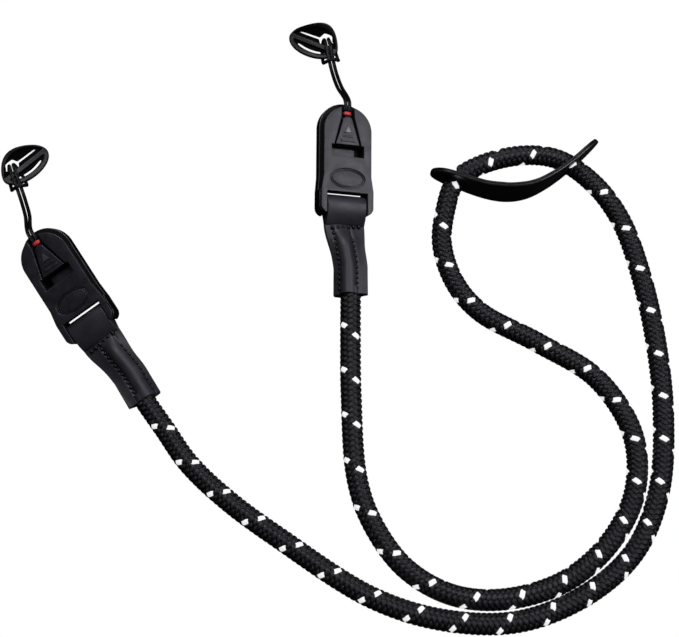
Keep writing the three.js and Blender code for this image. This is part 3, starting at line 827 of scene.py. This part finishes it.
def make_faceplate(end, matrix):
    """The front plate, and in its oval groove a rim and an island."""
    side = end["side"]
    centre = PLATE_TOP - PLATE_HALF
    mouth = math.degrees(math.acos(KEY_MOUTH_HALF / PLATE_HALF))
    right = [(NOTCH_HALF, PLATE_END)] + cheek_arc(CHEEK_HALF, -CHEEK_END)[::-1]
    right += [(CHEEK_HALF, FLARE_BOTTOM), (PLATE_HALF, FLARE_TOP)]
    right += arc(0, centre, PLATE_HALF, 0, mouth, 14)
    right += [(KEY_MOUTH_HALF, KEY_NECK), (KEY_FOOT_HALF, WINDOW_TOP), (WINDOW_HALF, WINDOW_TOP),
              (WINDOW_HALF, WINDOW_BOTTOM)]
    outline = right + mirrored(right)

    def oval(shrink):
        return ellipse(0, OVAL_CENTRE, OVAL_HALF_LENGTH - shrink, OVAL_HALF_WIDTH - shrink)

    parts = [
        slab("plate", [outline, oval(0)], PLATE_BACK, FACE, EDGE, matrix, True),
        slab("floor", [oval(-0.3)], PLATE_BACK + 0.1, FACE - GROOVE_DEPTH, 0.05, matrix),
        slab("rim", [oval(RIM_INSET), oval(RIM_INSET + RIM_WIDTH)], PLATE_BACK + 0.2, FACE - 0.04, 0.12,
             matrix, True),
        slab("island", [oval(ISLAND_INSET)], PLATE_BACK + 0.2, FACE - 0.05, 0.2, matrix, True),
    ]
    looks = (plate_plastic, edge_plastic)
    keep(join_meshes(f"{side}_faceplate", parts, looks), "buckle_plastic", f"{side}_clip_faceplate")


def make_wedge(end, matrix):
    """The tongue in the keyway, with an arrow and two bars on it."""
    side = end["side"]
    foot = WINDOW_TOP + GAP
    tip = KEY_NECK - WEDGE_TOP_HALF
    outline = [(-WEDGE_FOOT_HALF, foot), (WEDGE_FOOT_HALF, foot)] + arc(0, tip, WEDGE_TOP_HALF, 0, 180, 12)
    arrow = [(-1.6, foot + 5.3), (1.6, foot + 5.3), (0, foot + 8.7)]
    upper_bar = [(-2.4, foot + 3.3), (2.4, foot + 3.3), (2, foot + 4.1), (0, foot + 4.4), (-2, foot + 4.1)]
    lower_bar = rectangle(-3.2, 3.2, foot + 1.3, foot + 2.3)
    relief = (WEDGE_TOP - 0.2, WEDGE_TOP + WEDGE_RELIEF)
    raised_arrow = slab("arrow", [arrow], *relief, 0.15, matrix)
    paint(raised_arrow, [1] * len(raised_arrow.polygons))
    parts = [
        slab("wedge", [outline], PLATE_BACK, WEDGE_TOP, EDGE, matrix, True),
        raised_arrow,
        slab("bar", [upper_bar], *relief, 0.2, matrix, True),
        slab("bar", [lower_bar], *relief, 0.2, matrix, True),
    ]
    looks = (plate_plastic, edge_plastic)
    keep(join_meshes(f"{side}_wedge", parts, looks), "buckle_plastic", f"{side}_anchor_wedge")


def make_bead(end, matrix):
    """A round bead with soft shoulders, flattened towards the face."""
    last, sides = 8, 24
    vertices = []
    for share in np.linspace(-1, 1, last + 1):
        radius = BEAD_RADIUS * (1 - abs(share) ** BEAD_POWER) ** (1 / BEAD_POWER)
        for angle in np.arange(sides) * 2 * math.pi / sides:
            vertices.append((radius * math.cos(angle), BEAD_LOW + BEAD_LENGTH / 2 * (1 + share),
                             BEAD_HEIGHT + BEAD_FLATTEN * radius * math.sin(angle)))
    mesh = new_mesh("bead", vertices, ring_faces(0, last, sides))
    mesh.transform(matrix)
    keep(join_meshes(f"{end['side']}_bead", [mesh], (bead_red,)), "bead_red", f"{end['side']}_anchor_bead")


# Leather tabs: a loop round the bar, then a sleeve over the rope's end, sewn along both sides

def sleeve_height(share, x, half, ridge):
    """The height of the sleeve's upper ply above its middle plane, with its ridge off the middle."""
    bulge = ease(share, *SLEEVE_SWELL)
    away = abs(x - ridge)
    room = half + ridge if x < ridge else half - ridge
    if away < STITCH_LINE:
        dome = (0.5 + 0.5 * math.cos(math.pi * away / STITCH_LINE)) ** DOME_POWER
        raised = SLEEVE_VALLEY + (SLEEVE_CREST - SLEEVE_VALLEY) * dome
    else:
        share_out = min(1.0, (away - STITCH_LINE) / (room - STITCH_LINE))
        raised = FLANGE_EDGE + (SLEEVE_VALLEY - FLANGE_EDGE) * (1 - share_out) ** FLANGE_POWER
    from_line = (away - STITCH_LINE) / SEAM_HALF
    seam = SEAM_DEPTH * math.exp(-from_line**2) * ease(share, *SEAM_START)
    return FLANGE_EDGE + (raised - FLANGE_EDGE) * bulge - seam


def sleeve_half(share):
    taper = ease(share, 0, TAB_TAPER_SHARE)
    return (STRAP_WIDTH + (TAB_MOUTH_WIDTH - STRAP_WIDTH) * taper) / 2


def bezier(corners, share):
    rest = 1 - share
    weights = (rest**3, 3 * share * rest**2, 3 * share * share * rest, share**3)
    return sum((corner * weight for corner, weight in zip(corners, weights)), Vector())


class Sleeve:
    """The tab's way from the buckle to the rope's mouth, with the frame of its section at each place."""

    def __init__(self, end):
        matrix = buckle_matrix(end)
        self.across, along = (matrix.to_3x3().col[k].copy() for k in (0, 1))
        inner, mouth = (Vector(ROPE_ROUTE[end[key]]) for key in ("inner", "mouth"))
        outwards = (mouth - inner).normalized()
        rope_tip = mouth - outwards * TAB_BORE_DEPTH
        top = Vector(end["bar"]) - along * (TAB_LOOP_LENGTH - 1)
        reach = (top - rope_tip).length / 8
        corners = [top, top - along * reach, rope_tip - outwards * reach, rope_tip]
        bend = [bezier(corners, share) for share in np.linspace(0, 1, 40)]
        straight = [rope_tip.lerp(mouth, share) for share in np.linspace(0, 1, 20)[1:]]
        self.line = Line(bend + straight)
        self.twist = math.radians(end["mouth_roll"] - end["roll"])
        self.ridges = end["ridge"]

    def ridge(self, share):
        return self.ridges[0] + (self.ridges[1] - self.ridges[0]) * share

    def place(self, share):
        return Vector(self.line.at(share * self.line.length))

    def frame(self, share):
        """The section's middle, and its ways across, out of its face and back to the buckle."""
        back = (self.place(max(0, share - 0.02)) - self.place(min(1, share + 0.02))).normalized()
        level = (self.across - back * self.across.dot(back)).normalized()
        turned = Matrix.Rotation(self.twist * share, 3, back) @ level
        return self.place(share), turned, turned.cross(back), back

    def point(self, share, x, z):
        place, level, outward, _ = self.frame(share)
        return place + level * x + outward * z


def sleeve_ring(share, ridge):
    """The section's points, and which of its sides are the plies' cut edges."""
    half = sleeve_half(share)
    steps = 40
    top = [(half * s, sleeve_height(share, half * s, half, ridge)) for s in np.linspace(-1, 1, steps + 1)]
    # The two plies' cut edges, with the joint between them
    edge = [(half + 0.06, 0.75), (half + 0.02, 0.14), (half - 0.3, 0.0), (half + 0.02, -0.14),
            (half + 0.06, -0.75)]
    bottom = [(x, -z) for x, z in reversed(top)]
    other = [(-x, -z) for x, z in edge]
    marks = ([False] * steps + [True] * (len(edge) + 1)) * 2
    return top + edge + bottom + other, marks


def make_tab(end, matrix):
    side = end["side"]
    sleeve = Sleeve(end)
    stations = 48
    vertices = []
    for share in np.linspace(0, 1, stations + 1):
        ring, marks = sleeve_ring(share, sleeve.ridge(share))
        vertices += [sleeve.point(share, x, z) for x, z in ring]
    # The mouth: the plies' ends round the rope, then a short way in
    place, level, outward, back = sleeve.frame(1.0)
    bore = ROPE_DIAMETER / 2 + GAP
    for depth in (0.0, MOUTH_DEPTH):
        for x, z in ring:
            angle = math.atan2(z, x)
            round_rope = level * bore * math.cos(angle) + outward * bore * math.sin(angle)
            vertices.append(place + back * depth + round_rope)
    count = len(ring)
    faces = ring_faces(0, stations, count) + [tuple(range(count))]
    faces += ring_faces(stations, stations + 2, count)
    body = new_mesh("sleeve", vertices, faces)
    paint(body, marks * stations + [False] + [True] * count + [False] * count)

    # The upper ply bows out in front of the bar and comes down to the row of stitches
    fall = [(-TAB_LOOP_LENGTH * t, PLY + (LOOP_RADIUS - PLY) * math.cos(math.pi / 2 * t) ** FALL_POWER)
            for t in np.linspace(0, 1, 14)[1:]]
    profile = [(-TAB_LOOP_LENGTH, -PLY)] + arc(0, 0, LOOP_RADIUS, -113, 90, 28) + fall
    loop_matrix = matrix @ Matrix(((0, 0, 1, 0), (1, 0, 0, 0), (0, 1, 0, 0), (0, 0, 0, 1)))
    loop = slab("loop", [profile], -STRAP_WIDTH / 2, STRAP_WIDTH / 2, 0.35, loop_matrix)
    piece = join_meshes(f"{side}_tab", [body, loop], (tab_leather, ply_edge), 50.0)
    keep(piece, "tab_leather", f"{side}_leather_tab")
    make_stitches(end, sleeve)


def stitch_mesh(start, finish, width, height, outward):
    """One stitch: a rounded yarn between two needle holes."""
    along = finish - start
    wide = outward.cross(along.normalized()).normalized()
    last, sides = 6, 8
    vertices = []
    for share in np.linspace(-1, 1, last + 1):
        size = max(0.12, (1 - share**4) ** 0.5)
        centre = start + along * (0.5 + 0.5 * share) + outward * (height * 0.35 * (1 - share**2) - 0.1)
        for angle in np.arange(sides) * 2 * math.pi / sides:
            vertices.append(centre + wide * (width / 2 * size * math.cos(angle))
                            + outward * (height / 2 * size * math.sin(angle)))
    return new_mesh("stitch", vertices, closed_faces(last, sides))


def make_stitches(end, sleeve):
    """A row of stitches on each side of the ridge, and one across the tab below its loop."""
    meshes = []
    for way, first, stitches in SIDE_STITCHES:
        for i in range(stitches):
            points = []
            for share in (first + STITCH_STEP * i, first + STITCH_STEP * (i + STITCH_FILL)):
                ridge = sleeve.ridge(share)
                x = ridge + way * STITCH_LINE
                height = sleeve_height(share, x, sleeve_half(share), ridge)
                points.append(sleeve.point(share, x, height + 0.2))
            outward = sleeve.frame(first + STITCH_STEP * i)[2]
            meshes.append(stitch_mesh(*points, *STITCH_SIZE, outward))
    across = STRAP_WIDTH - 3.4
    pitch = across / CROSS_STITCHES
    outward = sleeve.frame(CROSS_STITCH_SHARE)[2]
    for i in range(CROSS_STITCHES):
        start = -across / 2 + pitch * (i + 0.12)
        points = [sleeve.point(CROSS_STITCH_SHARE, x, PLY + 0.4) for x in (start, start + pitch * 0.8)]
        meshes.append(stitch_mesh(*points, *CROSS_STITCH_SIZE, outward))
    keep(join_meshes(f"{end['side']}_tab_stitches", meshes, (thread_black,), 80.0), "tab_leather")


# Protectors

def protector_matrix(end):
    tip = math.radians(PROTECTOR_TIP * end["tip_way"])
    return (Matrix.Translation((*end["protector"], PROTECTOR_LIFT))
            @ Matrix.Rotation(math.radians(end["turn"]), 4, "Z") @ Matrix.Rotation(tip, 4, "Y"))


def slot_outline(end, way):
    """A slot along the bar: the far one is wide where the cord goes down it, and the near one is bowed."""
    reach = (PROTECTOR_SLOT_LENGTH if way > 0 else NEAR_SLOT_LENGTH) / 2
    lower, upper = [], []
    for share in np.linspace(-1, 1, 41):
        if way > 0:
            from_middle = -end["tip_way"] * share * reach
            wide = ease(from_middle, *SLOT_OPENS) * (1 - ease(from_middle, *SLOT_CLOSES))
            half = PROTECTOR_SLIT / 2 + (PROTECTOR_SLOT_WIDTH - PROTECTOR_SLIT) / 2 * wide
            middle = PROTECTOR_BAR / 2 + SLOT_MIDDLE
        else:
            half = NEAR_SLOT_WIDTH / 2
            middle = NEAR_SLOT_BOW * share**2 - NEAR_SLOT_MIDDLE
        half *= math.sqrt(max(0.0, 1 - share**6))
        lower.append((share * reach, middle - half))
        upper.append((share * reach, middle + half))
    return lower + upper[-2:0:-1]


def hollow_outline(way):
    """A hollow in the upper face, between the bar and the rim."""
    rim = FAR_RIM if way > 0 else NEAR_RIM
    half_length = PROTECTOR_LENGTH / 2 - rim
    half_width = PROTECTOR_WIDTH / 2 - rim
    foot = PROTECTOR_BAR / 2
    reach = half_length * math.sqrt(1 - (foot / half_width) ** 2)
    places = [reach * share for share in np.linspace(-1, 1, 41)]
    curve = [(x, way * half_width * math.sqrt(1 - (x / half_length) ** 2)) for x in places]
    return curve + [(x, way * foot) for x in places[-2:0:-1]]


def make_protector(end):
    """A plate with two slots, whose far rim is curled up, drawn in and spread."""
    side = end["side"]
    half_length, half_width = PROTECTOR_LENGTH / 2, PROTECTOR_WIDTH / 2
    rim = ellipse(0, 0, half_length, half_width, 96)
    upper = slab("upper", [rim, hollow_outline(1), hollow_outline(-1)], HOLLOW_FLOOR - OVERLAP,
                 PROTECTOR_THICKNESS, 0.45, Matrix())
    lower = slab("lower", [rim, slot_outline(end, 1), slot_outline(end, -1)], PROTECTOR_UNDERSIDE,
                 HOLLOW_FLOOR, 0.2, Matrix())
    # The lower layer takes the near-black second material, a painted shade in the hollows and slots
    paint(lower, [1] * len(lower.polygons))
    for mesh in (upper, lower):
        for vertex in mesh.vertices:
            share = max(0.0, vertex.co.y / half_width)
            from_far = max(0.0, PROTECTOR_SPREAD_START - end["tip_way"] * vertex.co.x)
            spread = end["spread"] * from_far / (PROTECTOR_SPREAD_START + half_length)
            vertex.co.z += PROTECTOR_CURL * share**2
            vertex.co.y *= 1 - PROTECTOR_DRAW_IN * share**2
            vertex.co.y += spread * share**3
        mesh.transform(protector_matrix(end))
    looks = (protector_leather, hollow_shade_leather)
    piece = join_meshes(f"{side}_cord_protector", [upper, lower], looks, 60.0)
    keep(piece, "protector_leather", f"{side}_protector")


# Shoulder pad

def pad_plan(steps):
    """Places, headings and leans at even steps along the pad."""
    shares, headings, leans = zip(*PAD_BOW)
    x, y = PAD_START
    plan = []
    for share in np.linspace(0, 1, steps + 1):
        heading = math.radians(np.interp(share, shares, headings))
        plan.append((x, y, heading, math.tan(math.radians(np.interp(share, shares, leans)))))
        x += PAD_LENGTH / steps * math.cos(heading)
        y += PAD_LENGTH / steps * math.sin(heading)
    return plan


def make_pad():
    """A strip with round ends and softly rounded edges, cut through where the rope passes."""
    fine, stations = 400, 110
    plan = pad_plan(fine)
    end_radius = PAD_HEIGHT / 2
    section = []
    for corner_x, corner_y, start in ((1, 1, 0), (-1, 1, 90), (-1, -1, 180), (1, -1, 270)):
        for angle in np.radians(np.linspace(start, start + 90, 5)):
            section.append((corner_x, corner_y, math.cos(angle), math.sin(angle)))
    count = len(section)
    vertices = []
    for i in range(stations + 1):
        share = 0.5 - 0.5 * math.cos(math.pi * (i + 0.25) / (stations + 0.5))
        from_end = min(share, 1 - share) * PAD_LENGTH
        in_end = max(0, end_radius - from_end)
        half = math.sqrt(end_radius**2 - in_end**2)
        x, y, heading, lean = plan[round(share * fine)]
        thick = PAD_THICKNESS / 2 * min(1.0, 0.7 + from_end / 0.8)
        rounding = min(PAD_CORNER, thick * 0.9, half * 0.9)
        for corner_x, corner_y, out_x, out_y in section:
            height = end_radius + corner_y * (half - rounding) + out_y * rounding
            aside = corner_x * (thick - rounding) + out_x * rounding - height * lean
            vertices.append((x - aside * math.sin(heading), y + aside * math.cos(heading), height))
    mesh = new_mesh("pad", vertices, closed_faces(stations, count))
    # The section's points 4 and 14 start the flats along the upper and the lower edge
    paint(mesh, [k in (4, 14) for k in range(count)] * stations + [False, False])
    pad = join_meshes("pad", [mesh], (pad_leather, pad_edge), 60.0)
    line = Line(centripetal(ROPE_ROUTE, 12))
    hole_vertices, hole_faces, _ = tube_rings(line, ROPE_DIAMETER / 2 + PAD_HOLE_GAP, 40, 2.0)
    cutter = mesh_piece("cutter", hole_vertices, hole_faces, pad_leather)
    hole = pad.modifiers.new("holes", "BOOLEAN")
    hole.object = cutter
    hole.solver = "EXACT"
    done = bpy.data.meshes.new_from_object(pad.evaluated_get(bpy.context.evaluated_depsgraph_get()))
    pad.modifiers.clear()
    pad.data = done
    bpy.data.objects.remove(cutter)
    keep(pad, "smooth_leather", "shoulder_pad")


for end in ENDS:
    place = buckle_matrix(end)
    make_housing(end, place)
    make_faceplate(end, place)
    make_wedge(end, place)
    make_bead(end, place)
    make_tab(end, place)
    make_protector(end)
make_pad()
